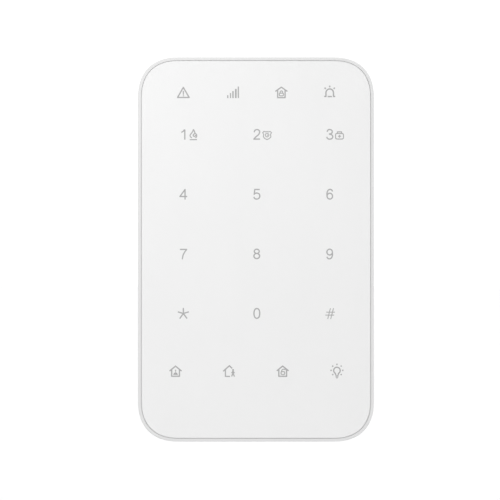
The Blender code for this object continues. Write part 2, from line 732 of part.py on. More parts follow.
def make_tamper_switch(looks, groups):
    """The sprung switch that feels whether the keypad is on its bracket and the bracket is on the wall."""
    x, z = TAMPER_AT
    seat = BOARD_BACK - THIN_GAP
    top = 14.0
    body = prism("tamper_switch", [rounded(4.5, 4.5, 1.0, steps=2, centre=TAMPER_AT)], top, seat)
    cut(body, rod("bore", TAMPER_AT, 1.95, top - OVERSHOOT, 18.4, sides=16))
    finish(body, looks["black"], groups["keypad"])
    tip = PLATE_FRONT + GAP
    flange = (6.9, 7.7)
    end = 15.9
    profile = [
        (0.0, end), (1.1, end), (1.5, end - 0.4), (1.5, flange[1]), (2.9, flange[1]),
        (2.9, flange[0]), (1.9, flange[0]), (1.9, tip + 0.8), (1.5, tip + 0.2), (0.9, tip), (0.0, tip),
    ]
    plunger = turned("tamper_plunger", profile, (x, 0.0, z), "front", sides=16)
    finish(plunger, looks["grey"], groups["tamper_plunger"])
    spring = coil("tamper_spring", TAMPER_AT, (2.35, 2.35), 0.22, 8.1, 13.6, 4.5, "depth")
    finish(spring, looks["steel"], groups["keypad"])


def make_power_switch(looks, groups):
    """The slide switch, whose tall knob is reached through the case's back."""
    x, z = SWITCH_AT
    seat = BOARD_BACK - THIN_GAP
    top = 13.4
    body = block("power_switch", (x - 4.8, x + 4.8), (top, seat), (z - 2.4, z + 2.4))
    cut(body, block("track", (x - 3.2, x + 3.2), (top - OVERSHOOT, top + 1.4), (z - 1.3, z + 1.3)))
    finish(body, looks["steel"], groups["keypad"])
    rest = x - SWITCH_TRAVEL / 2
    foot = block("power_switch_knob", (rest - 1.4, rest + 1.4), (top - 0.3, top + 1.2), (z - 1.0, z + 1.0))
    stem = prism("stem", [rounded(1.0, 0.9, 0.3, steps=1, centre=(rest, z))], 5.2, top)
    fuse(foot, stem)
    finish(foot, looks["black"], groups["power_switch_knob"])


def make_enrol_button(looks, groups):
    """The push button that pairs the keypad, reached through the case's back."""
    x, z = BUTTON_AT
    seat = BOARD_BACK - THIN_GAP
    body = prism("enrol_switch", [rounded(3.0, 3.0, 0.5, steps=1, centre=BUTTON_AT)], 15.3, seat)
    finish(body, looks["steel"], groups["keypad"])
    base = 15.3 - BUTTON_TRAVEL - THIN_GAP
    profile = [(0.0, base), (1.7, base), (1.7, 5.8), (1.3, 5.4), (0.0, 5.4)]
    button = turned("enrol_button", profile, (x, 0.0, z), "front", sides=16)
    finish(button, looks["black"], groups["enrol_button"])


# ---- The batteries -------------------------------------------------------------------------------


def cell_z(index):
    return BAY_CENTRE_Z + ((CELL_COUNT - 1) / 2 - index) * CELL_PITCH


def plus_side(index):
    """The side that a cell's plus end is on: the cells lie in turn one way and the other."""
    return -1 if index % 2 == 0 else 1


def make_cells(looks, groups):
    half = CELL_LENGTH / 2
    shoulder = half - CELL_NUB
    profile = [
        (0.0, half), (2.5, half), (2.75, half - 0.3), (2.75, shoulder), (6.4, shoulder),
        (CELL_RADIUS, shoulder - 0.7), (CELL_RADIUS, 0.6 - half), (6.7, 0.2 - half),
        (4.6, 0.2 - half), (4.4, -half), (0.0, -half),
    ]
    for index in range(CELL_COUNT):
        side = plus_side(index)
        at = (side * CELL_SHIFT, CELL_DEPTH, cell_z(index))
        cell = turned(f"cell_{index + 1}", profile, at, "right" if side > 0 else "left", sides=24)
        finish(cell, looks["cell"], groups["keypad"])


def contact_plate(name, side, cells, tab, looks, groups):
    """A flat contact at one end of the bay, across one cell or two, with or without a tab to the board."""
    zs = [cell_z(index) for index in cells]
    low, high = min(zs) - 5.2, max(zs) + 5.2
    near, far = sorted((side * CONTACT_INNER_X, side * (CONTACT_INNER_X + CONTACT_THICK)))
    outline = rounded(5.0, (high - low) / 2, 1.5, steps=2, centre=(CELL_DEPTH, (low + high) / 2))
    plate = prism(name, [outline], near, far, along="x")
    if tab:
        fuse(plate, block("tab", (near + 0.02, far - 0.02), (CELL_DEPTH, 20.0), (zs[0] - 1.4, zs[0] + 1.4)))
    finish(plate, looks["contact"], groups["keypad"])


def make_contacts(looks, groups):
    contact_plate("positive_terminal", -1, (0,), True, looks, groups)
    contact_plate("negative_terminal", -1, (3,), True, looks, groups)
    contact_plate("cell_link_left", -1, (1, 2), False, looks, groups)
    contact_plate("cell_link_upper_right", 1, (0, 1), False, looks, groups)
    contact_plate("cell_link_lower_right", 1, (2, 3), False, looks, groups)
    for index in range(CELL_COUNT):
        side = -plus_side(index)
        wire_radius = 0.3
        start = CONTACT_INNER_X - THIN_GAP - wire_radius
        end = CELL_LENGTH / 2 - CELL_SHIFT + THIN_GAP + wire_radius
        name = f"cell_spring_{index + 1}"
        centre = (CELL_DEPTH, cell_z(index))
        spring = coil(name, centre, (4.4, 2.4), wire_radius, side * start, side * end, 3.5, "x")
        finish(spring, looks["contact"], groups["keypad"])


# ---- The fasteners -------------------------------------------------------------------------------


def screw_profile(head_radius, head_height, shank_radius, length):
    """A pan head above the origin and a shank below it, from the top down."""
    return [
        (0.0, head_height), (head_radius * 0.72, head_height), (head_radius, head_height * 0.45),
        (head_radius, 0.0), (shank_radius, 0.0), (shank_radius, 0.8 - length),
        (shank_radius * 0.5, -length), (0.0, -length),
    ]


def make_screws(looks, groups):
    keypad = groups["keypad"]
    seat = 9.7
    profile = screw_profile(2.6, 1.8, 1.25, 8.8)
    for number, (x, z) in enumerate(CASE_SCREWS, 1):
        screw = turned(f"case_screw_{number}", profile, (x, seat, z), "back", sides=16)
        cut(screw, prism("cross", [cross((x, z), 1.3, 0.35)], seat - 2.2, seat - 0.9))
        finish(screw, looks["screw"], keypad)
    seat = BOARD_BACK - THIN_GAP
    profile = screw_profile(1.9, 1.2, 0.9, 2.7)
    for number, (x, z) in enumerate(BOARD_SCREWS, 1):
        screw = turned(f"board_screw_{number}", profile, (x, seat, z), "back", sides=16)
        cut(screw, prism("cross", [cross((x, z), 1.0, 0.25)], seat - 1.6, seat - 0.6))
        finish(screw, looks["screw"], keypad)
    washer_top = LUG_Z[0] - THIN_GAP
    washer_low = washer_top - WASHER_THICK
    washer = rod("fixing_washer", (0.0, FIXING_DEPTH), 2.9, washer_low, washer_top, "z", 20)
    cut(washer, rod("bore", (0.0, FIXING_DEPTH), 1.65, washer_low - 0.5, washer_top + 0.5, "z", 12))
    finish(washer, looks["screw"], groups["fixing_washer"])
    head_top = washer_low - THIN_GAP
    tip = LUG_Z[1] + GAP + FIXING_ENGAGED
    profile = screw_profile(2.75, 1.6, 1.45, tip - head_top)
    screw = turned("fixing_screw", profile, (0.0, FIXING_DEPTH, head_top), "down", sides=20)
    recess = cross((0.0, FIXING_DEPTH), 1.5, 0.4)
    cut(screw, prism("cross", [recess], head_top - 2.2, head_top - 0.7, "z"))
    finish(screw, looks["screw"], groups["fixing_screw"])


def make_looks():
    return {
        "panel": material("panel_white", (0.90, 0.90, 0.90), 0.22),
        "case": material("case_white", (0.84, 0.84, 0.84), 0.45),
        "bracket": material("bracket_white", (0.80, 0.80, 0.79), 0.55),
        "adhesive": material("adhesive_grey", (0.10, 0.10, 0.11), 0.8),
        "film": material("film_clear", (0.75, 0.78, 0.78), 0.25),
        "baffle": material("baffle_white", (0.70, 0.70, 0.70), 0.6),
        "board": material("board_green", (0.03, 0.19, 0.08), 0.4),
        "black": material("black_plastic", (0.02, 0.02, 0.02), 0.5),
        "grey": material("grey_plastic", (0.42, 0.42, 0.43), 0.45),
        "ivory": material("ivory_plastic", (0.78, 0.74, 0.62), 0.5),
        "light": material("light_lens", (0.85, 0.85, 0.72), 0.2),
        "steel": material("tinned_steel", (0.62, 0.62, 0.62), 0.35, 1.0),
        "contact": material("contact_nickel", (0.66, 0.65, 0.62), 0.25, 1.0),
        "screw": material("screw_zinc", (0.55, 0.55, 0.56), 0.3, 1.0),
        "copper": material("antenna_copper", (0.72, 0.40, 0.22), 0.3, 1.0),
        "cell": material("cell_wrap", (0.08, 0.10, 0.12), 0.3),
    }


def make_groups():
    root = group_at("wall_bracket_group", (0.0, 0.0, 0.0))
    keypad = group_at("keypad_group", (0.0, BACK_OUTER, 0.0), root)
    washer = group_at("fixing_washer_group", (0.0, FIXING_DEPTH, LUG_Z[0]), root)
    screw = group_at("fixing_screw_group", (0.0, FIXING_DEPTH, LUG_Z[0]), washer)
    places = {
        "tamper_plunger": (TAMPER_AT[0], PLATE_FRONT + GAP, TAMPER_AT[1]),
        "power_switch_knob": (SWITCH_AT[0] - SWITCH_TRAVEL / 2, BACK_INNER, SWITCH_AT[1]),
        "enrol_button": (BUTTON_AT[0], BACK_INNER, BUTTON_AT[1]),
    }
    groups = {
        "wall_bracket": root,
        "keypad": keypad,
        "fixing_washer": washer,
        "fixing_screw": screw,
    }
    groups.update({name: group_at(f"{name}_group", at, keypad) for name, at in places.items()})
    return groups


clear_scene()
PARTS = new_collection("alarm_keypad")
TOOLS = new_collection("cutters")
LOOKS = make_looks()
GROUPS = make_groups()
for make in (
    make_wall_bracket,
    make_rear_shell,
    make_front_shell,
    make_front_panel,
    make_light_baffle,
    make_main_board,
    make_board_parts,
    make_tamper_switch,
    make_power_switch,
    make_enrol_button,
    make_cells,
    make_contacts,
    make_screws,
):
    make(LOOKS, GROUPS)
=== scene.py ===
import json
import math

import bmesh
import bpy
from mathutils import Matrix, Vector
from mathutils.geometry import delaunay_2d_cdt

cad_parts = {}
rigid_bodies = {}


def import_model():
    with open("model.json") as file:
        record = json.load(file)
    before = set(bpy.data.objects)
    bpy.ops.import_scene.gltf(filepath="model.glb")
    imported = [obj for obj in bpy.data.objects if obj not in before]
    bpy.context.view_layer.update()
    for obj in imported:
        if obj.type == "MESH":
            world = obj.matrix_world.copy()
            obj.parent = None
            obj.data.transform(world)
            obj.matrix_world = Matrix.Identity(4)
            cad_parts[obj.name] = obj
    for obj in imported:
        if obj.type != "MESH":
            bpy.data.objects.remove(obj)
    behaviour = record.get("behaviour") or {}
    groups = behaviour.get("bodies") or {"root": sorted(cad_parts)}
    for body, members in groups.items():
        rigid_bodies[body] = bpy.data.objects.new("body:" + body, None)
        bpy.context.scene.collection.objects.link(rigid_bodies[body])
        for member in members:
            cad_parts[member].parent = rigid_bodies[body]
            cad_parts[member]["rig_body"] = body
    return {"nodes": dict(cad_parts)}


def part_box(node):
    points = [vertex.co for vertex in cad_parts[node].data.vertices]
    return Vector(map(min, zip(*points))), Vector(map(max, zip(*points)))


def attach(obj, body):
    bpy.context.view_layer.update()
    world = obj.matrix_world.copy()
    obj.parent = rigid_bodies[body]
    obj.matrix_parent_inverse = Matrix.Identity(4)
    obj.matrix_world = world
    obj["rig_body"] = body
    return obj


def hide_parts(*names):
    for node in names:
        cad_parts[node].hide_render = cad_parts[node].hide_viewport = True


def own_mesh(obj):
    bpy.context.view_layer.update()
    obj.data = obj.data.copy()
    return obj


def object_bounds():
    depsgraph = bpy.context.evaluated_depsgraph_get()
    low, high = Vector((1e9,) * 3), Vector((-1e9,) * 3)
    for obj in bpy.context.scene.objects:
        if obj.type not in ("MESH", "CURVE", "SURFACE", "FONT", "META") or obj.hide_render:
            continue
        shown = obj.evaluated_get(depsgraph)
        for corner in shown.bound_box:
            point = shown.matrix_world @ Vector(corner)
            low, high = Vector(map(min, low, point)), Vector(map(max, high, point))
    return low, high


# The looks of a wall-mounted alarm keypad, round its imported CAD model. The origin is on the wall behind
# the keypad, +Z is up, +X is the viewer's right and the front faces -Y. Lengths are in millimetres, and
# become metres where they reach Blender.

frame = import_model()
cad_box = [list(corner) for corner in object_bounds()]

MM = 0.001
NODES = frame["nodes"]
FACE_DEPTH = -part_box("front_panel")[0].y / MM

# ---- View and light ---------------------------------------------------------------------------------

VIEW_CENTRE = (-2.39, -0.21)  # the point of the keypad's face that the camera is square to
VIEW_WIDTH = 199.15  # how much of the face's plane the picture spans
VIEW_DISTANCE = 3000.0
SENSOR = 36.0

WORLD_STRENGTHS = (0.78, 1.34)  # the soft light from the far left and from the far right
BACKDROP_STRENGTH = 1.15
LAMP_AT = (-140.0, -244.0, 160.0)
LAMP_TOWARDS = (-30.0, -24.0, 40.0)
LAMP_SIZE = 120.0
LAMP_POWER = 0.17

FLOOR_DROP = 84.0  # from the keypad's lowest point to the floor
FLOOR_SIZE = 60000.0

# ---- Marks on the panel -----------------------------------------------------------------------------

LINE = 0.5  # the width of a printed line
SHARP_TURN = 0.64  # a line is rounded where the cosine of its turn is below this, and mitred elsewhere
INK_SINK = 0.02  # how far a mark reaches into the panel
INK_RISE = 0.012  # and how far it stands proud
MERGE = 0.004  # corners of a mark that are this close are one corner
ALL_TRIANGLES = 0  # asks the triangulation for every triangle of the corners' convex hull

COLUMNS = (-28.94, 0.34, 29.36)  # where the key signs are across the panel
ROWS = (45.85, 22.0, -1.8, -25.5)  # and up it
STATUS_Z = 62.55  # the row of marks along the top
FUNCTION_Z = -48.35  # and the one along the bottom

# ---- Refined copies of the CAD parts ----------------------------------------------------------------

WELD = 0.002  # points this close are one point
LOOSE_WELD = {"rear_shell": 0.08}  # and on this part, whose cuts leave slivers, this close
FLAT_ANGLE = math.radians(0.3)
SHARP_ANGLE = math.radians(35)
EDGE_ROUND = {  # the size of the small round on a material's edges
    "case_plastic": 0.08,
    "panel_plastic": 0.05,
    "bracket_plastic": 0.18,
    "baffle_plastic": 0.08,
    "foam_adhesive": 0.03,
    "touch_film": 0.02,
    "circuit_board": 0.05,
    "black_plastic": 0.1,
    "grey_plastic": 0.1,
    "ivory_plastic": 0.12,
    "light_lens": 0.1,
    "tinned_steel": 0.06,
    "contact_metal": 0.06,
    "screw_steel": 0.07,
    "cell_wrap": 0.15,
}


# ---- Procedural materials ---------------------------------------------------------------------------

EVEN = (1.0, 1.0, 1.0)  # a pattern that isn't stretched along any axis
WHITE = (1.0, 1.0, 1.0, 1.0)
PALE_COPPER = (0.62, 0.32, 0.15, 1.0)
DEEP_COPPER = (0.5, 0.24, 0.1, 1.0)
MIX_FIRST, MIX_SECOND, MIX_RESULT = 6, 7, 2  # a Mix node's colour sockets, whose names aren't unique

BAND_LENGTH = 15.0  # the coloured band at a battery's plus end
BAND_SOFT = 0.1  # how wide its edge is
BAND_OVERRUN = 1.0  # and how far it reaches past the battery's end, which keeps that end in one colour


def new_look(name, **sockets):
    """A material with one Principled shader, whose even settings are given by socket name."""
    material = bpy.data.materials.new(name)
    material.use_nodes = True
    shader = material.node_tree.nodes["Principled BSDF"]
    for socket, value in sockets.items():
        shader.inputs[socket.replace("_", " ")].default_value = value
    return material, material.node_tree, shader


def join(tree, shader, **outputs):
    """Links each output to the shader's socket of that name."""
    for socket, output in outputs.items():
        tree.links.new(output, shader.inputs[socket.replace("_", " ")])


def grey(level, tint=0.0):
    """A neutral colour, or a slightly warm one where tint is above 0."""
    return (level, level * (1 - tint / 2), level * (1 - tint), 1.0)


def place_of(tree, stretch=EVEN):
    """Where a point is on its part, in metres, stretched along each axis."""
    where = tree.nodes.new("ShaderNodeTexCoord").outputs["Object"]
    if stretch == EVEN:
        return where
    mapping = tree.nodes.new("ShaderNodeMapping")
    mapping.inputs["Scale"].default_value = stretch
    tree.links.new(where, mapping.inputs["Vector"])
    return mapping.outputs["Vector"]


def noise(tree, size, detail=2.0, roughness=0.5, stretch=EVEN):
    """Soft random patches of the given size."""
    node = tree.nodes.new("ShaderNodeTexNoise")
    node.inputs["Scale"].default_value = 1 / (size * MM)
    node.inputs["Detail"].default_value = detail
    node.inputs["Roughness"].default_value = roughness
    tree.links.new(place_of(tree, stretch), node.inputs["Vector"])
    return node.outputs["Fac"]


def cells(tree, size, feature="F1"):
    """How far a point is from a cell's middle, or from its edge, in a pattern of cells of that size."""
    node = tree.nodes.new("ShaderNodeTexVoronoi")
    node.feature = feature
    node.inputs["Scale"].default_value = 1 / (size * MM)
    tree.links.new(place_of(tree), node.inputs["Vector"])
    return node.outputs["Distance"]


def spread(tree, value, low, high, start=0.3, end=0.7):
    """Turns values from start to end into values from low to high."""
    node = tree.nodes.new("ShaderNodeMapRange")
    for socket, number in (("From Min", start), ("From Max", end), ("To Min", low), ("To Max", high)):
        node.inputs[socket].default_value = number
    tree.links.new(value, node.inputs["Value"])
    return node.outputs["Result"]


def blend_colours(tree, share, first, second):
    """first where share is 0, and second where it is 1. Each is a colour or another node's output."""
    node = tree.nodes.new("ShaderNodeMix")
    node.data_type = "RGBA"
    tree.links.new(share, node.inputs["Factor"])
    for socket, colour in ((node.inputs[MIX_FIRST], first), (node.inputs[MIX_SECOND], second)):
        if isinstance(colour, tuple):
            socket.default_value = colour
        else:
            tree.links.new(colour, socket)
    return node.outputs[MIX_RESULT]


def bump(tree, height, depth, under=None):
    """A bump of the given depth, over another one where there is one."""
    node = tree.nodes.new("ShaderNodeBump")
    node.inputs["Distance"].default_value = depth * MM
    tree.links.new(height, node.inputs["Height"])
    if under:
        tree.links.new(under, node.inputs["Normal"])
    return node.outputs["Normal"]


def moulded_plastic(name, light, dark, rough, grain, depth, **sockets):
    """Moulded plastic: a fine even grain, faint flow marks and a slightly uneven gloss."""
    material, tree, shader = new_look(name, **sockets)
    flow = noise(tree, size=22.0, detail=3.0, stretch=(1.0, 1.0, 0.5))
    join(tree, shader, Base_Color=blend_colours(tree, spread(tree, flow, 0.0, 1.0), dark, light))
    patches = noise(tree, size=6.0, detail=4.0, roughness=0.6)
    join(tree, shader, Roughness=spread(tree, patches, rough - 0.03, rough + 0.04))
    waves = bump(tree, noise(tree, size=4.0, detail=1.0), depth * 0.8)
    fine = bump(tree, noise(tree, size=grain, detail=2.5, roughness=0.6), depth, under=waves)
    join(tree, shader, Normal=fine)
    return material


def metal(name, light, dark, rough, marks, depth, stretch=EVEN):
    """Worked metal: fine marks, drawn out where stretch says so, with duller and brighter patches."""
    material, tree, shader = new_look(name, Metallic=1.0)
    patches = noise(tree, size=1.6, detail=5.0, roughness=0.65)
    join(tree, shader, Base_Color=blend_colours(tree, spread(tree, patches, 0.0, 1.0), dark, light))
    lines = noise(tree, size=marks, detail=3.0, stretch=stretch)
    join(tree, shader, Roughness=spread(tree, lines, rough - 0.08, rough + 0.12))
    join(tree, shader, Normal=bump(tree, lines, depth))
    return material


def ink_look():
    """The grey print of the marks: a thin, slightly uneven film of ink."""
    material, tree, shader = new_look("mark_ink", Specular_IOR_Level=0.4)
    patches = spread(tree, noise(tree, size=0.35, detail=3.0), 0.0, 1.0)
    join(tree, shader, Base_Color=blend_colours(tree, patches, grey(0.335), grey(0.385)))
    join(tree, shader, Roughness=spread(tree, noise(tree, size=0.8), 0.42, 0.55))
    join(tree, shader, Normal=bump(tree, noise(tree, size=0.12), 0.002))
    return material


def foam_look():
    """The black foam tape under the panel, with its closed cells."""
    material, tree, shader = new_look("foam", Roughness=0.85)
    pores = cells(tree, size=0.22)
    shade = spread(tree, pores, 0.0, 1.0, start=0.1, end=0.6)
    join(tree, shader, Base_Color=blend_colours(tree, shade, grey(0.08), grey(0.12)))
    join(tree, shader, Normal=bump(tree, pores, 0.05))
    return material


def film_look():
    """The touch sensor: a pale clear film with a fine net of printed lines."""
    material, tree, shader = new_look("sensor_film", Roughness=0.25, Coat_Weight=0.4)
    gaps = cells(tree, size=1.4, feature="DISTANCE_TO_EDGE")
    net = spread(tree, gaps, 1.0, 0.0, start=0.02, end=0.06)
    tone = noise(tree, size=9.0)
    base = blend_colours(tree, tone, (0.72, 0.76, 0.76, 1.0), (0.78, 0.8, 0.8, 1.0))
    join(tree, shader, Base_Color=blend_colours(tree, net, base, (0.62, 0.6, 0.55, 1.0)))
    join(tree, shader, Metallic=net)
    join(tree, shader, Normal=bump(tree, net, 0.01))
    return material


def board_look():
    """Solder mask over copper: paler where there is copper under it, with small tinned pads."""
    material, tree, shader = new_look("solder_mask", Coat_Weight=0.5, Coat_Roughness=0.15)
    gaps = cells(tree, size=2.6, feature="DISTANCE_TO_EDGE")
    tracks = spread(tree, gaps, 0.0, 1.0, start=0.05, end=0.07)
    weave = noise(tree, size=0.5, detail=1.0)
    bare = blend_colours(tree, weave, (0.008, 0.09, 0.03, 1.0), (0.012, 0.12, 0.045, 1.0))
    green = blend_colours(tree, tracks, bare, (0.02, 0.2, 0.07, 1.0))
    pads = spread(tree, cells(tree, size=3.4), 1.0, 0.0, start=0.09, end=0.11)
    join(tree, shader, Base_Color=blend_colours(tree, pads, green, (0.72, 0.7, 0.64, 1.0)))
    join(tree, shader, Metallic=pads)
    join(tree, shader, Roughness=spread(tree, weave, 0.25, 0.4))
    join(tree, shader, Normal=bump(tree, pads, 0.03, under=bump(tree, tracks, 0.02)))
    return material


def lens_look():
    """A status light's milky epoxy."""
    material, tree, shader = new_look(
        "light_epoxy", Roughness=0.18, Transmission_Weight=0.35, Coat_Weight=0.3
    )
    milk = spread(tree, noise(tree, size=0.7, detail=3.0), 0.0, 1.0)
    tone = blend_colours(tree, milk, (0.78, 0.77, 0.7, 1.0), (0.86, 0.86, 0.82, 1.0))
    join(tree, shader, Base_Color=tone)
    join(tree, shader, Normal=bump(tree, noise(tree, size=0.25), 0.004))
    return material


def band_of(tree, low, high):
    """1 between two places along X, in millimetres from the keypad's middle, and 0 outside them."""
    split = tree.nodes.new("ShaderNodeSeparateXYZ")
    tree.links.new(place_of(tree), split.inputs["Vector"])
    along = split.outputs["X"]
    after = spread(tree, along, 0.0, 1.0, start=low * MM, end=(low + BAND_SOFT) * MM)
    before = spread(tree, along, 1.0, 0.0, start=(high - BAND_SOFT) * MM, end=high * MM)
    both = tree.nodes.new("ShaderNodeMath")
    both.operation = "MULTIPLY"
    tree.links.new(after, both.inputs[0])
    tree.links.new(before, both.inputs[1])
    return both.outputs[0]


def cell_look(node):
    """A battery's printed wrap: a dark body, with a copper-coloured band at its plus end.

    Its minus end is the one on the spring's side, which is nearer to the keypad's middle.
    """
    low, high = (corner.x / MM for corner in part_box(node))
    plus_is_left = abs(low) > abs(high)
    if plus_is_left:
        start, end = low - BAND_OVERRUN, low + BAND_LENGTH
    else:
        start, end = high - BAND_LENGTH, high + BAND_OVERRUN

    material, tree, shader = new_look(node + "_wrap", Coat_Weight=0.6, Coat_Roughness=0.12)
    band = band_of(tree, start, end)
    fleck = spread(tree, noise(tree, size=0.6, detail=4.0), 0.0, 1.0)
    body = blend_colours(tree, fleck, grey(0.018), grey(0.03))
    copper = blend_colours(tree, fleck, DEEP_COPPER, PALE_COPPER)
    join(tree, shader, Base_Color=blend_colours(tree, band, body, copper))
    join(tree, shader, Metallic=spread(tree, band, 0.1, 0.85, start=0.0, end=1.0))
    join(tree, shader, Roughness=spread(tree, fleck, 0.28, 0.38, start=0.0, end=1.0))
    join(tree, shader, Normal=bump(tree, noise(tree, size=1.2, stretch=(0.2, 1.0, 1.0)), 0.01))
    return material


# By its slot, a moulded plastic's name, lighter and darker tone, roughness, grain and the grain's depth.
PLASTICS = {
    "panel_plastic": ("panel_satin", grey(0.776), grey(0.766), 0.32, 0.1, 0.0006),
    "case_plastic": ("case_white", grey(0.685), grey(0.67), 0.48, 0.14, 0.004),
    "bracket_plastic": ("bracket_white", grey(0.74), grey(0.72), 0.55, 0.22, 0.007),
    "baffle_plastic": ("baffle_white", grey(0.71), grey(0.68), 0.55, 0.16, 0.005),
    "black_plastic": ("part_black", grey(0.028), grey(0.02), 0.42, 0.1, 0.003),
    "grey_plastic": ("part_grey", grey(0.34), grey(0.3), 0.45, 0.12, 0.004),
    "ivory_plastic": ("part_ivory", grey(0.68, 0.2), grey(0.62, 0.24), 0.42, 0.12, 0.004),
}
COATS = {"panel_plastic": {"Coat_Weight": 0.15, "Coat_Roughness": 0.25}}

# By its slot, a metal's name, lighter and darker tone, roughness, the size and depth of its marks, and
# their stretch where they are drawn out.
METALS = {
    "antenna_wire": (
        "bare_copper", (0.74, 0.42, 0.24, 1.0), (0.62, 0.33, 0.18, 1.0), 0.3, 0.1, 0.002
    ),
    "tinned_steel": ("tin_plate", grey(0.66), grey(0.56), 0.32, 0.12, 0.002, (1.0, 1.0, 0.12)),
    "spring_steel": ("spring_wire", grey(0.55), grey(0.44), 0.3, 0.1, 0.002),
    "contact_metal": (
        "nickel_contact", grey(0.68, 0.06), grey(0.58, 0.08), 0.28, 0.12, 0.002, (0.15, 1.0, 1.0)
    ),
    "screw_steel": ("zinc_screw", grey(0.6, 0.03), grey(0.5, 0.05), 0.3, 0.1, 0.003),
}


def make_looks():
    """Every material slot's look, by the slot's name. The batteries have looks of their own."""
    looks = {slot: moulded_plastic(*row, **COATS.get(slot, {})) for slot, row in PLASTICS.items()}
    looks["foam_adhesive"] = foam_look()
    looks["touch_film"] = film_look()
    looks["circuit_board"] = board_look()
    looks["light_lens"] = lens_look()
    looks.update({slot: metal(*row) for slot, row in METALS.items()})
    return looks


# ---- The CAD parts, refined -------------------------------------------------------------------------


def add_piece(name, shape, look, body):
    """Makes a bmesh into a piece that rides the body."""
    mesh = bpy.data.meshes.new(name)
    shape.to_mesh(mesh)
    shape.free()
    mesh.materials.append(look)
    piece = bpy.data.objects.new(name, mesh)
    bpy.context.scene.collection.objects.link(piece)
    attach(piece, body)
    return piece


def refined(node, look, edge):
    """A copy of a CAD part, with whole faces in place of triangles and small rounds on sharp edges."""
    shape = bmesh.new()
    shape.from_mesh(NODES[node].data)
    bmesh.ops.remove_doubles(shape, verts=shape.verts, dist=LOOSE_WELD.get(node, WELD) * MM)
    bmesh.ops.dissolve_limit(
        shape, angle_limit=FLAT_ANGLE, verts=shape.verts, edges=shape.edges, delimit={"NORMAL"}
    )
    sharp = [e for e in shape.edges if e.calc_face_angle(0.0) > SHARP_ANGLE]
    if edge and sharp:
        width = edge * MM
        bmesh.ops.bevel(
            shape, geom=sharp, offset=width, segments=2, profile=0.5, affect="EDGES", clamp_overlap=True
        )
    piece = add_piece(node + "_visual", shape, look, NODES[node]["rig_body"])
    piece.data.shade_smooth()
    piece.data.set_sharp_from_angle(angle=SHARP_ANGLE)
    weighted = piece.modifiers.new("Even flats", "WEIGHTED_NORMAL")
    weighted.keep_sharp = True
    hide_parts(node)
    return piece


def squash_spring(piece):
    """Gives the tamper spring's piece a copy of its mesh, of its own."""
    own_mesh(piece)


def make_parts(looks):
    """Refines every CAD part, in the look of its material slot."""
    for node in sorted(NODES):
        slot = NODES[node].data.materials[0].name
        look = cell_look(node) if slot == "cell_wrap" else looks[slot]
        piece = refined(node, look, EDGE_ROUND.get(slot, 0.0))
        if node == "tamper_spring":
            squash_spring(piece)


# ---- Drawing with even lines ------------------------------------------------------------------------


def curve(points, steps=6):
    """A smooth line through the points, with that many steps between one and the next."""
    ends = [Vector(p) for p in (points[0], *points, points[-1])]
    line = []
    for a, b, c, d in zip(ends, ends[1:], ends[2:], ends[3:]):
        square = 2 * a - 5 * b + 4 * c - d
        cube = 3 * b - a - 3 * c + d
        for i in range(steps):
            t = i / steps
            line.append(tuple(b + ((c - a) * t + square * t ** 2 + cube * t ** 3) / 2))
    return line + [points[-1]]


def oval(centre, half_x, half_z, power=2.0, start=0.0, end=360.0, steps=40):
    """An oval, or the part of it from the angle start to the angle end. A power above 2 squares it."""
    line = []
    for i in range(steps + 1):
        angle = math.radians(start + (end - start) * i / steps)
        c, s = math.cos(angle), math.sin(angle)
        x = math.copysign(abs(c) ** (2 / power), c)
        z = math.copysign(abs(s) ** (2 / power), s)
        line.append((centre[0] + half_x * x, centre[1] + half_z * z))
    return line[:-1] if end - start == 360.0 else line


def polar(angle, reach, centre=(0.0, 0.0)):
    """The point at that angle and distance from the centre."""
    angle = math.radians(angle)
    return (centre[0] + reach * math.cos(angle), centre[1] + reach * math.sin(angle))


def disc(centre, radius, sides=16):
    """A filled circle."""
    return [oval(centre, radius, radius, steps=sides)]


def bar(low, high):
    """An upright rectangle between two opposite corners."""
    return [[low, (high[0], low[1]), high, (low[0], high[1])]]


def stroke(points, width=LINE, closed=False):
    """The shapes that make a line of even width: mitred at gentle turns, and rounded at sharp ones."""
    points = [Vector(p) for p in points]
    count = len(points)
    pairs = [(i, (i + 1) % count) for i in range(count if closed else count - 1)]
    ways = {i: (points[j] - points[i]).normalized() for i, j in pairs}
    shapes = []

    def side(way):
        """From a line that runs the given way to its left side."""
        return Vector((-way.y, way.x)) * width / 2

    def offset(way, before, after):
        """The same at a corner, by the ways before and after it, one of which is the line's own."""
        if before is None or after is None or before.dot(after) < SHARP_TURN:
            return side(way)
        middle = (before + after).normalized()
        return side(middle) / middle.dot(before)

    for i, j in pairs:
        way = ways[i]
        start = offset(way, ways.get((i - 1) % count), way)
        end = offset(way, way, ways.get(j))
        run = points[j] - points[i]
        if min((run + end - start).dot(way), (run - end + start).dot(way)) <= 0:
            start = end = side(way)
            shapes += disc(points[i], width / 2) + disc(points[j], width / 2)
        corners = (points[i] - start, points[j] - end, points[j] + end, points[i] + start)
        shapes.append([tuple(corner) for corner in corners])
    for i, point in enumerate(points):
        before, after = ways.get((i - 1) % count), ways.get(i)
        if before is not None and after is not None and before.dot(after) < SHARP_TURN:
            shapes += disc(point, width / 2)
    return shapes


def turned_over(shapes):
    """The shapes turned by half a turn."""
    return [[(-x, -z) for x, z in shape] for shape in shapes]


def covers(shape, x, z):
    """Whether the point is inside the shape."""
    inside = False
    for a, b in zip(shape, shape[1:] + shape[:1]):
        if (a[1] > z) != (b[1] > z) and x < a[0] + (z - a[1]) * (b[0] - a[0]) / (b[1] - a[1]):
            inside = not inside
    return inside


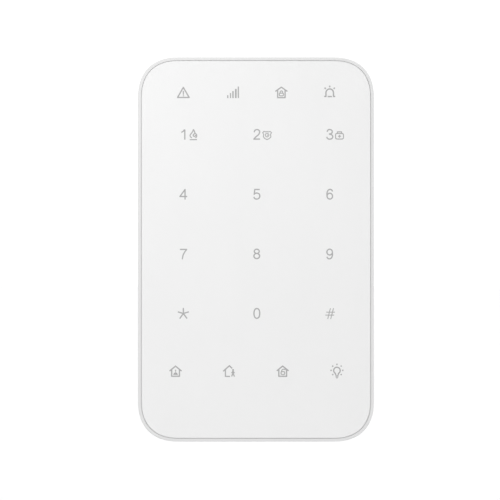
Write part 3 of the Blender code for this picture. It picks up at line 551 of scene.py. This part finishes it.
def union(shapes):
    """The points and the triangles that cover all the flat shapes together."""
    corners, faces = [], []
    for shape in shapes:
        faces.append(list(range(len(corners), len(corners) + len(shape))))
        corners += [Vector(p) for p in shape]
    points, _, triangles, *_ = delaunay_2d_cdt(corners, [], faces, ALL_TRIANGLES, MERGE, False)
    covered = []
    for triangle in triangles:
        middle = sum((points[i] for i in triangle), Vector((0.0, 0.0))) / 3
        if any(covers(shape, *middle) for shape in shapes):
            covered.append(triangle)
    return points, covered


def mark(name, centre, shapes, look):
    """One printed mark: the union of its flat shapes, as a thin film of ink on the panel."""
    points, triangles = union(shapes)
    film = bmesh.new()
    depths = (FACE_DEPTH + INK_RISE, FACE_DEPTH - INK_SINK)
    front, back = (
        [film.verts.new(((centre[0] + p.x) * MM, -d * MM, (centre[1] + p.y) * MM)) for p in points]
        for d in depths
    )
    for t in triangles:
        film.faces.new([front[i] for i in t])
        film.faces.new([back[i] for i in reversed(t)])
    edges = {(a, b) for t in triangles for a, b in zip(t, t[1:] + t[:1])}
    for a, b in sorted(edges):
        if (b, a) not in edges:
            film.faces.new((front[b], front[a], back[a], back[b]))
    loose = [v for v in film.verts if not v.link_faces]
    bmesh.ops.delete(film, geom=loose, context="VERTS")
    bmesh.ops.remove_doubles(film, verts=film.verts, dist=WELD * MM)
    bmesh.ops.dissolve_limit(film, angle_limit=FLAT_ANGLE, verts=film.verts, edges=film.edges)
    return add_piece(name, film, look, "keypad")


# ---- The digits -------------------------------------------------------------------------------------


def six():
    """A ring with a back that curls over it. Turned over, it is a nine."""
    ring = stroke(oval((0.03, -0.76), 1.09, 1.16), closed=True)
    back = [(1.1, 1.1), (0.8, 1.7), (0.13, 1.93), (-0.66, 1.55), (-1.06, 0.55), (-1.06, -0.7)]
    return ring + stroke(curve(back))


def digits():
    """Each digit and sign of the keys, about its own centre."""
    two = curve([
        (-1.08, 0.85), (-0.71, 1.62), (0.05, 1.93), (0.83, 1.62), (1.12, 0.95),
        (0.7, -0.08), (-0.33, -0.95), (-1.2, -1.89),
    ])
    three_top = curve([
        (-1.04, 1.0), (-0.7, 1.68), (0.0, 1.93), (0.77, 1.63), (1.02, 1.04), (0.7, 0.38), (-0.3, 0.1),
    ])
    three_foot = curve([
        (-0.3, 0.1), (0.75, -0.16), (1.23, -0.93), (0.86, -1.66),
        (0.0, -1.93), (-0.81, -1.68), (-1.2, -1.0),
    ])
    four = stroke([(0.68, -2.12), (0.68, 1.9), (-1.36, -0.9)]) + stroke([(-1.36, -0.9), (1.52, -0.9)])
    five = curve([
        (-1.05, 0.0), (-0.6, 0.36), (0.05, 0.48), (0.86, 0.15), (1.18, -0.7),
        (0.82, -1.58), (-0.05, -1.93), (-0.85, -1.7), (-1.22, -1.02),
    ])
    seven = curve([(1.33, 1.82), (0.52, 0.75), (-0.12, -0.55), (-0.42, -2.1)])
    eight = [oval((-0.04, 1.06), 0.98, 0.84), oval((-0.04, -0.82), 1.13, 1.02)]
    arms = [(90, 2.25), (17, 2.3), (163, 2.3), (-54, 2.5), (-126, 2.5)]
    star = [((0.0, 0.0), polar(angle, reach)) for angle, reach in arms]
    hash_lines = [
        ((0.28, 2.11), (-0.8, -2.17)),
        ((1.51, 2.11), (0.4, -2.17)),
        ((-1.39, 0.52), (2.07, 0.52)),
        ((-1.71, -0.64), (1.75, -0.64)),
    ]
    return {
        "1": stroke([(0.58, -2.1), (0.58, 1.93)]) + stroke([(-0.8, 0.78), (0.0, 1.25), (0.5, 1.95)]),
        "2": stroke(two + [(1.26, -1.89)]),
        "3": stroke(three_top) + stroke(three_foot),
        "4": four + disc((-1.36, -0.9), LINE / 2),
        "5": stroke([(1.13, 1.9), (-0.82, 1.9)] + five),
        "6": six(),
        "7": stroke([(-1.37, 1.82)] + seven),
        "8": [s for ring in eight for s in stroke(ring, closed=True)],
        "9": turned_over(six()),
        "star": [s for line in star for s in stroke(line)] + disc((0.0, 0.0), LINE * 0.6),
        "0": stroke(oval((0.0, 0.03), 1.14, 1.93, power=2.3, steps=56), closed=True),
        "hash": [s for line in hash_lines for s in stroke(line, LINE * 0.7)],
    }


# ---- The pictures -----------------------------------------------------------------------------------

THIN = 0.5  # the line of the pictures
TUCK = 0.1  # how far inside the roof's line a house's walls start


def house(half=2.4, eaves=0.2, apex=2.1, walls=1.52, foot=-2.15):
    """A roof with eaves, and walls and a floor under it."""
    slope = (apex - eaves) / half
    top = apex - slope * walls - TUCK
    roof = stroke([(-half, eaves), (0.0, apex), (half, eaves)], THIN)
    return roof + stroke([(-walls, top), (-walls, foot), (walls, foot), (walls, top)], THIN)


def lock(x, z, half_x, half_z, shackle):
    """The outlines of a lock's body and its shackle."""
    body = oval((x, z), half_x, half_z, power=5.0, steps=32)
    return stroke(body, THIN * 0.8, closed=True) + stroke(shackle, THIN * 0.8)


def status_marks():
    """The four marks along the top: a warning, the signal, a locked house and an alarm light."""
    triangle = stroke([(0.0, 2.0), (-2.3, -2.0), (2.3, -2.0)], 0.52, closed=True)
    point = [[(-0.27, 0.6), (-0.22, -0.95), (0.22, -0.95), (0.27, 0.6)]] + disc((0.0, -1.36), 0.25)
    arch = oval((0.0, -0.17), 1.5, 1.55, start=0.0, end=180.0, steps=20)
    siren = stroke([(2.2, -1.6), (1.5, -1.6)] + arch + [(-1.5, -1.6), (-2.2, -1.6)], 0.54)
    siren += bar((-0.85, -1.9), (0.85, -1.38)) + stroke([(0.0, 2.05), (0.0, 2.7)], 0.56)
    siren += stroke([(1.55, 1.4), (2.05, 1.9)], 0.56) + stroke([(-1.55, 1.4), (-2.05, 1.9)], 0.56)
    arc = oval((0.0, 0.1), 0.5, 0.5, start=180.0, end=0.0, steps=12)
    shackle = [(-0.5, -0.3)] + arc + [(0.5, -0.3)]
    sizes = (
        (0.0, 0.24, 1.15), (1.08, 0.23, 2.0), (2.08, 0.28, 2.8), (3.2, 0.33, 3.65), (4.2, 0.24, 4.6),
    )
    bars = [s for x, half, top in sizes for s in bar((x - half, 0.0), (x + half, top))]
    locked = house(eaves=0.4, walls=1.48, foot=-2.08) + lock(0.0, -0.82, 0.8, 0.54, shackle)
    return {
        "fault": ((COLUMNS[0], STATUS_Z), triangle + point),
        "signal": ((-11.24, 60.3), bars),
        "armed": ((10.11, STATUS_Z), locked),
        "alarm": ((COLUMNS[2], STATUS_Z), siren),
    }


def key_pictures():
    """The small pictures beside 1, 2 and 3: a flame, a shield and a first aid case."""
    flame = curve([
        (-0.6, -1.35), (-1.25, -0.85), (-1.25, -0.2), (-0.7, 0.55), (-0.25, 1.15), (0.0, 1.9),
        (0.4, 1.25), (0.6, 0.6), (1.0, 0.2), (1.3, -0.3), (1.25, -0.95), (0.8, -1.35),
    ], 4)
    lick = curve([(0.55, 0.45), (0.15, 0.0), (-0.1, -0.4), (0.2, -0.75), (0.75, -0.95)], 4)
    hearth = [(-1.45, -2.1), (1.45, -2.1)]
    side = [(0.6, 1.35), (1.21, 1.6), (1.75, 1.1), (1.35, 0.36), (1.5, -0.6), (0.9, -1.25)]
    shield = [(0.0, 1.5), *side, (0.0, -1.7), *((-x, z) for x, z in reversed(side))]
    badge = oval((0.0, 0.12), 0.68, 0.72, steps=24)
    case = oval((0.0, 0.0), 1.58, 1.12, power=5.0, steps=48)
    handle = [(-0.85, 1.1), (-0.85, 1.75), (0.85, 1.75), (0.85, 1.1)]
    cross = stroke([(-0.6, 0.0), (0.6, 0.0)], 0.4) + stroke([(0.0, -0.6), (0.0, 0.6)], 0.4)
    fire = stroke(flame, 0.44) + stroke(lick, 0.46) + disc((0.85, -0.5), 0.3) + stroke(hearth, 0.44)
    police = stroke(shield, 0.38, closed=True) + stroke(badge, 0.36, closed=True)
    police += stroke([(0.12, 0.35), (0.12, -0.25)], 0.32)
    medical = stroke(case, 0.4, closed=True) + stroke(handle, 0.4) + cross
    return {
        "fire": ((-24.94, ROWS[0]), fire),
        "police": ((4.42, ROWS[0] - 0.4), police),
        "medical": ((33.26, ROWS[0] - 0.75), medical),
    }


def function_marks():
    """The four marks along the bottom: at home, going out, an unlocked house and a lamp."""
    person = disc((0.0, 0.2), 0.27) + stroke([(0.0, 0.1), (0.0, -0.8)], 0.26)
    person += [[(-1.0, -1.58), (1.0, -1.58), (0.5, -0.74), (-0.5, -0.74)]]
    open_house = stroke([(-2.47, -0.16), (0.0, 2.03), (1.07, 0.97)], THIN)
    open_house += stroke([(-1.6, 0.55), (-1.6, -2.2), (0.24, -2.2)], THIN * 0.9)
    walker = disc((1.47, 0.36), 0.36) + stroke([(1.42, 0.06), (1.44, -1.05)], 0.66)
    walker += stroke([(1.38, -0.95), (0.88, -2.2)], 0.44) + stroke([(1.46, -0.95), (2.02, -2.3)], 0.44)
    walker += stroke([(1.5, -0.2), (2.08, -0.9)], 0.36) + stroke([(1.35, -0.2), (0.82, -0.9)], 0.36)
    hook = [(-0.44, -0.4), (-0.34, 0.2), (-0.04, 0.56), (0.46, 0.64), (0.88, 0.57), (1.03, 0.27)]
    shut_house = house(half=2.35, eaves=0.0, apex=1.9, walls=1.55)
    bulb = oval((0.0, 0.14), 1.3, 1.3, start=-62.0, end=242.0, steps=36)
    glass = stroke([(0.5, -1.6)] + bulb + [(-0.5, -1.6)], THIN)
    socket = []
    for z, half in ((-1.78, 0.66), (-2.16, 0.62), (-2.54, 0.5), (-2.88, 0.28)):
        socket += bar((-half, z - 0.13), (half, z + 0.13))
    rays = [(90, 2.1), (45, 2.1), (135, 2.1), (0, 2.05), (180, 2.05), (-45, 2.1), (-135, 2.1)]
    glow = []
    for angle, reach in rays:
        ends = [polar(angle, r, centre=(0.0, 0.2)) for r in (reach, reach + 0.55)]
        glow += stroke(ends, 0.54)
    return {
        "stay": ((-32.04, FUNCTION_Z), house(eaves=-0.1, apex=1.9, walls=1.55) + person),
        "away": ((-10.59, FUNCTION_Z), open_house + walker),
        "disarm": ((10.63, FUNCTION_Z), shut_house + lock(0.08, -0.88, 0.72, 0.55, curve(hook, 4))),
        "light": ((32.24, FUNCTION_Z), glass + socket + glow),
    }


def make_marks():
    """Every printed mark, as a piece of its own on the panel."""
    ink = ink_look()
    rows = (("1", "2", "3"), ("4", "5", "6"), ("7", "8", "9"), ("star", "0", "hash"))
    drawn = digits()
    for z, names in zip(ROWS, rows):
        for x, name in zip(COLUMNS, names):
            mark("mark_" + name, (x, z), drawn[name], ink)
    for group in (status_marks(), key_pictures(), function_marks()):
        for name, (centre, shapes) in group.items():
            mark("mark_" + name, centre, shapes, ink)


# ---- The studio -------------------------------------------------------------------------------------


def make_camera():
    """A long lens, square to the keypad's face."""
    data = bpy.data.cameras.new("camera")
    data.sensor_width = SENSOR
    data.lens = SENSOR * VIEW_DISTANCE / VIEW_WIDTH
    camera = bpy.data.objects.new("camera", data)
    camera.location = [MM * v for v in (VIEW_CENTRE[0], -FACE_DEPTH - VIEW_DISTANCE, VIEW_CENTRE[1])]
    camera.rotation_euler = (math.pi / 2, 0.0, 0.0)
    bpy.context.scene.collection.objects.link(camera)
    bpy.context.scene.camera = camera


def make_world():
    """Soft light from all round, a little brighter from the right, in front of a white background."""
    world = bpy.data.worlds.new("studio")
    world.use_nodes = True
    bpy.context.scene.world = world
    tree = world.node_tree
    light = tree.nodes["Background"]
    backdrop = tree.nodes.new("ShaderNodeBackground")
    for node in (light, backdrop):
        node.inputs["Color"].default_value = WHITE
    split = tree.nodes.new("ShaderNodeSeparateXYZ")
    tree.links.new(tree.nodes.new("ShaderNodeTexCoord").outputs["Generated"], split.inputs["Vector"])
    strength = spread(tree, split.outputs["X"], *WORLD_STRENGTHS, start=-1.0, end=1.0)
    tree.links.new(strength, light.inputs["Strength"])
    backdrop.inputs["Strength"].default_value = BACKDROP_STRENGTH
    pick = tree.nodes.new("ShaderNodeMixShader")
    tree.links.new(tree.nodes.new("ShaderNodeLightPath").outputs["Is Camera Ray"], pick.inputs["Fac"])
    tree.links.new(light.outputs["Background"], pick.inputs[1])
    tree.links.new(backdrop.outputs["Background"], pick.inputs[2])
    tree.links.new(pick.outputs["Shader"], tree.nodes["World Output"].inputs["Surface"])


def make_lamp():
    """A soft lamp above and to the left, which the camera doesn't see."""
    data = bpy.data.lights.new("key_light", "AREA")
    data.shape = "DISK"
    data.size = LAMP_SIZE * MM
    data.energy = LAMP_POWER
    lamp = bpy.data.objects.new("key_light", data)
    lamp.location = Vector(LAMP_AT) * MM
    lamp.rotation_euler = (Vector(LAMP_TOWARDS) - Vector(LAMP_AT)).to_track_quat("-Z", "Y").to_euler()
    lamp.visible_camera = False
    bpy.context.scene.collection.objects.link(lamp)


def make_floor():
    """A plain pale floor, below the picture's lower edge at the keypad."""
    material, tree, shader = new_look("floor", Roughness=0.3)
    patches = spread(tree, noise(tree, size=400.0), 0.0, 1.0)
    join(tree, shader, Base_Color=blend_colours(tree, patches, grey(0.94), grey(0.96)))
    half = FLOOR_SIZE / 2 * MM
    height = cad_box[0][2] - FLOOR_DROP * MM
    mesh = bpy.data.meshes.new("floor")
    corners = [(x, y, height) for x, y in ((-half, -half), (half, -half), (half, half), (-half, half))]
    mesh.from_pydata(corners, [], [(0, 1, 2, 3)])
    mesh.materials.append(material)
    floor = bpy.data.objects.new("floor", mesh)
    bpy.context.scene.collection.objects.link(floor)


bpy.context.scene.view_settings.view_transform = "Standard"
make_camera()
make_world()
make_lamp()
make_floor()
make_parts(make_looks())
make_marks()
